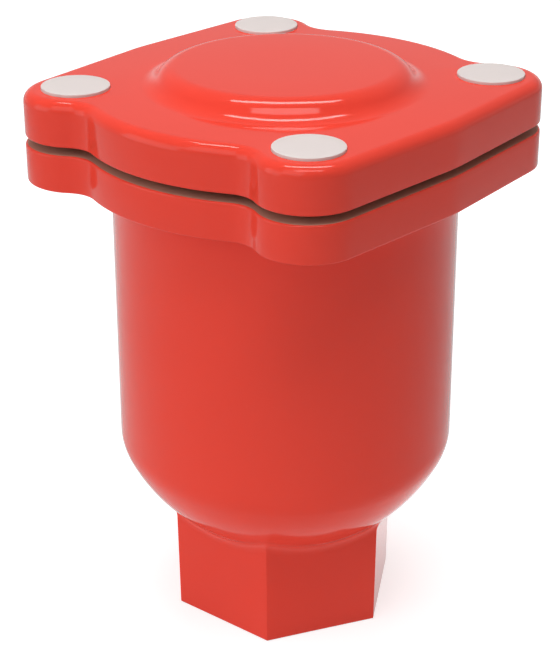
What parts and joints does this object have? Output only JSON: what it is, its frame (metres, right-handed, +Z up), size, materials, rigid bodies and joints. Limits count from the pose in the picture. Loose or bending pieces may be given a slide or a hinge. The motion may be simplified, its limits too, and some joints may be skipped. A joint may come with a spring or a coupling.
{
  "type": "air release valve",
  "caption": "Enamelled cast air release valve: round body with a domed bottom, hexagon inlet, lugged cover plate, and a ball float on a lever inside.",
  "frame": {"origin": "centre of the hexagon's underside, where the valve stands on its pipe", "axes": "+Z up along the body's axis, +Y towards the side that the vent leaves through, X along the lever's pivot pin and through two corners of the hexagon"},
  "size_m": [0.1, 0.1, 0.1442],
  "materials": {
    "casting_enamel": "smooth red enamel, satin gloss",
    "cap_steel": "matt blasted steel",
    "stainless_steel": "machined",
    "float_steel": "polished pressed sheet",
    "bush_bronze": "turned",
    "gasket_rubber": "matt",
    "seal_rubber": "matt"
  },
  "bodies": {
    "root": {"body": "casting_enamel", "cover": "casting_enamel", "flange_gasket": "gasket_rubber", "cover_screws": "stainless_steel", "screw_caps": "cap_steel", "orifice_seat": "stainless_steel", "seat_gasket": "gasket_rubber", "lever_bracket": "stainless_steel", "bracket_screws": "stainless_steel", "bracket_spring_washers": "stainless_steel", "pivot_pin": "stainless_steel", "pivot_clips": "stainless_steel"},
    "lever": {"float_lever": "stainless_steel", "lever_bush": "bush_bronze", "seal_holder": "stainless_steel", "seal_disc": "seal_rubber", "seal_lock_nut": "stainless_steel"},
    "float": {"link_pin": "stainless_steel", "link_clips": "stainless_steel", "float_yoke": "stainless_steel", "yoke_lock_nut": "stainless_steel", "float_boss": "stainless_steel", "float_upper_shell": "float_steel", "float_lower_shell": "float_steel"}
  },
  "joints": [
    {"name": "lever_swing", "type": "hinge", "parent": "root", "child": "lever", "pos_m": [0, 0.022, 0.119], "axis": [-1, 0, 0], "range_deg": [0, 12]},
    {"name": "float_swing", "type": "hinge", "parent": "lever", "child": "float", "pos_m": [0, 0, 0.11432], "axis": [1, 0, 0], "range_deg": [0, 12]}
  ],
  "couplings": [
    {"joint": "float_swing", "follows": "lever_swing", "ratio": 1}
  ]
}
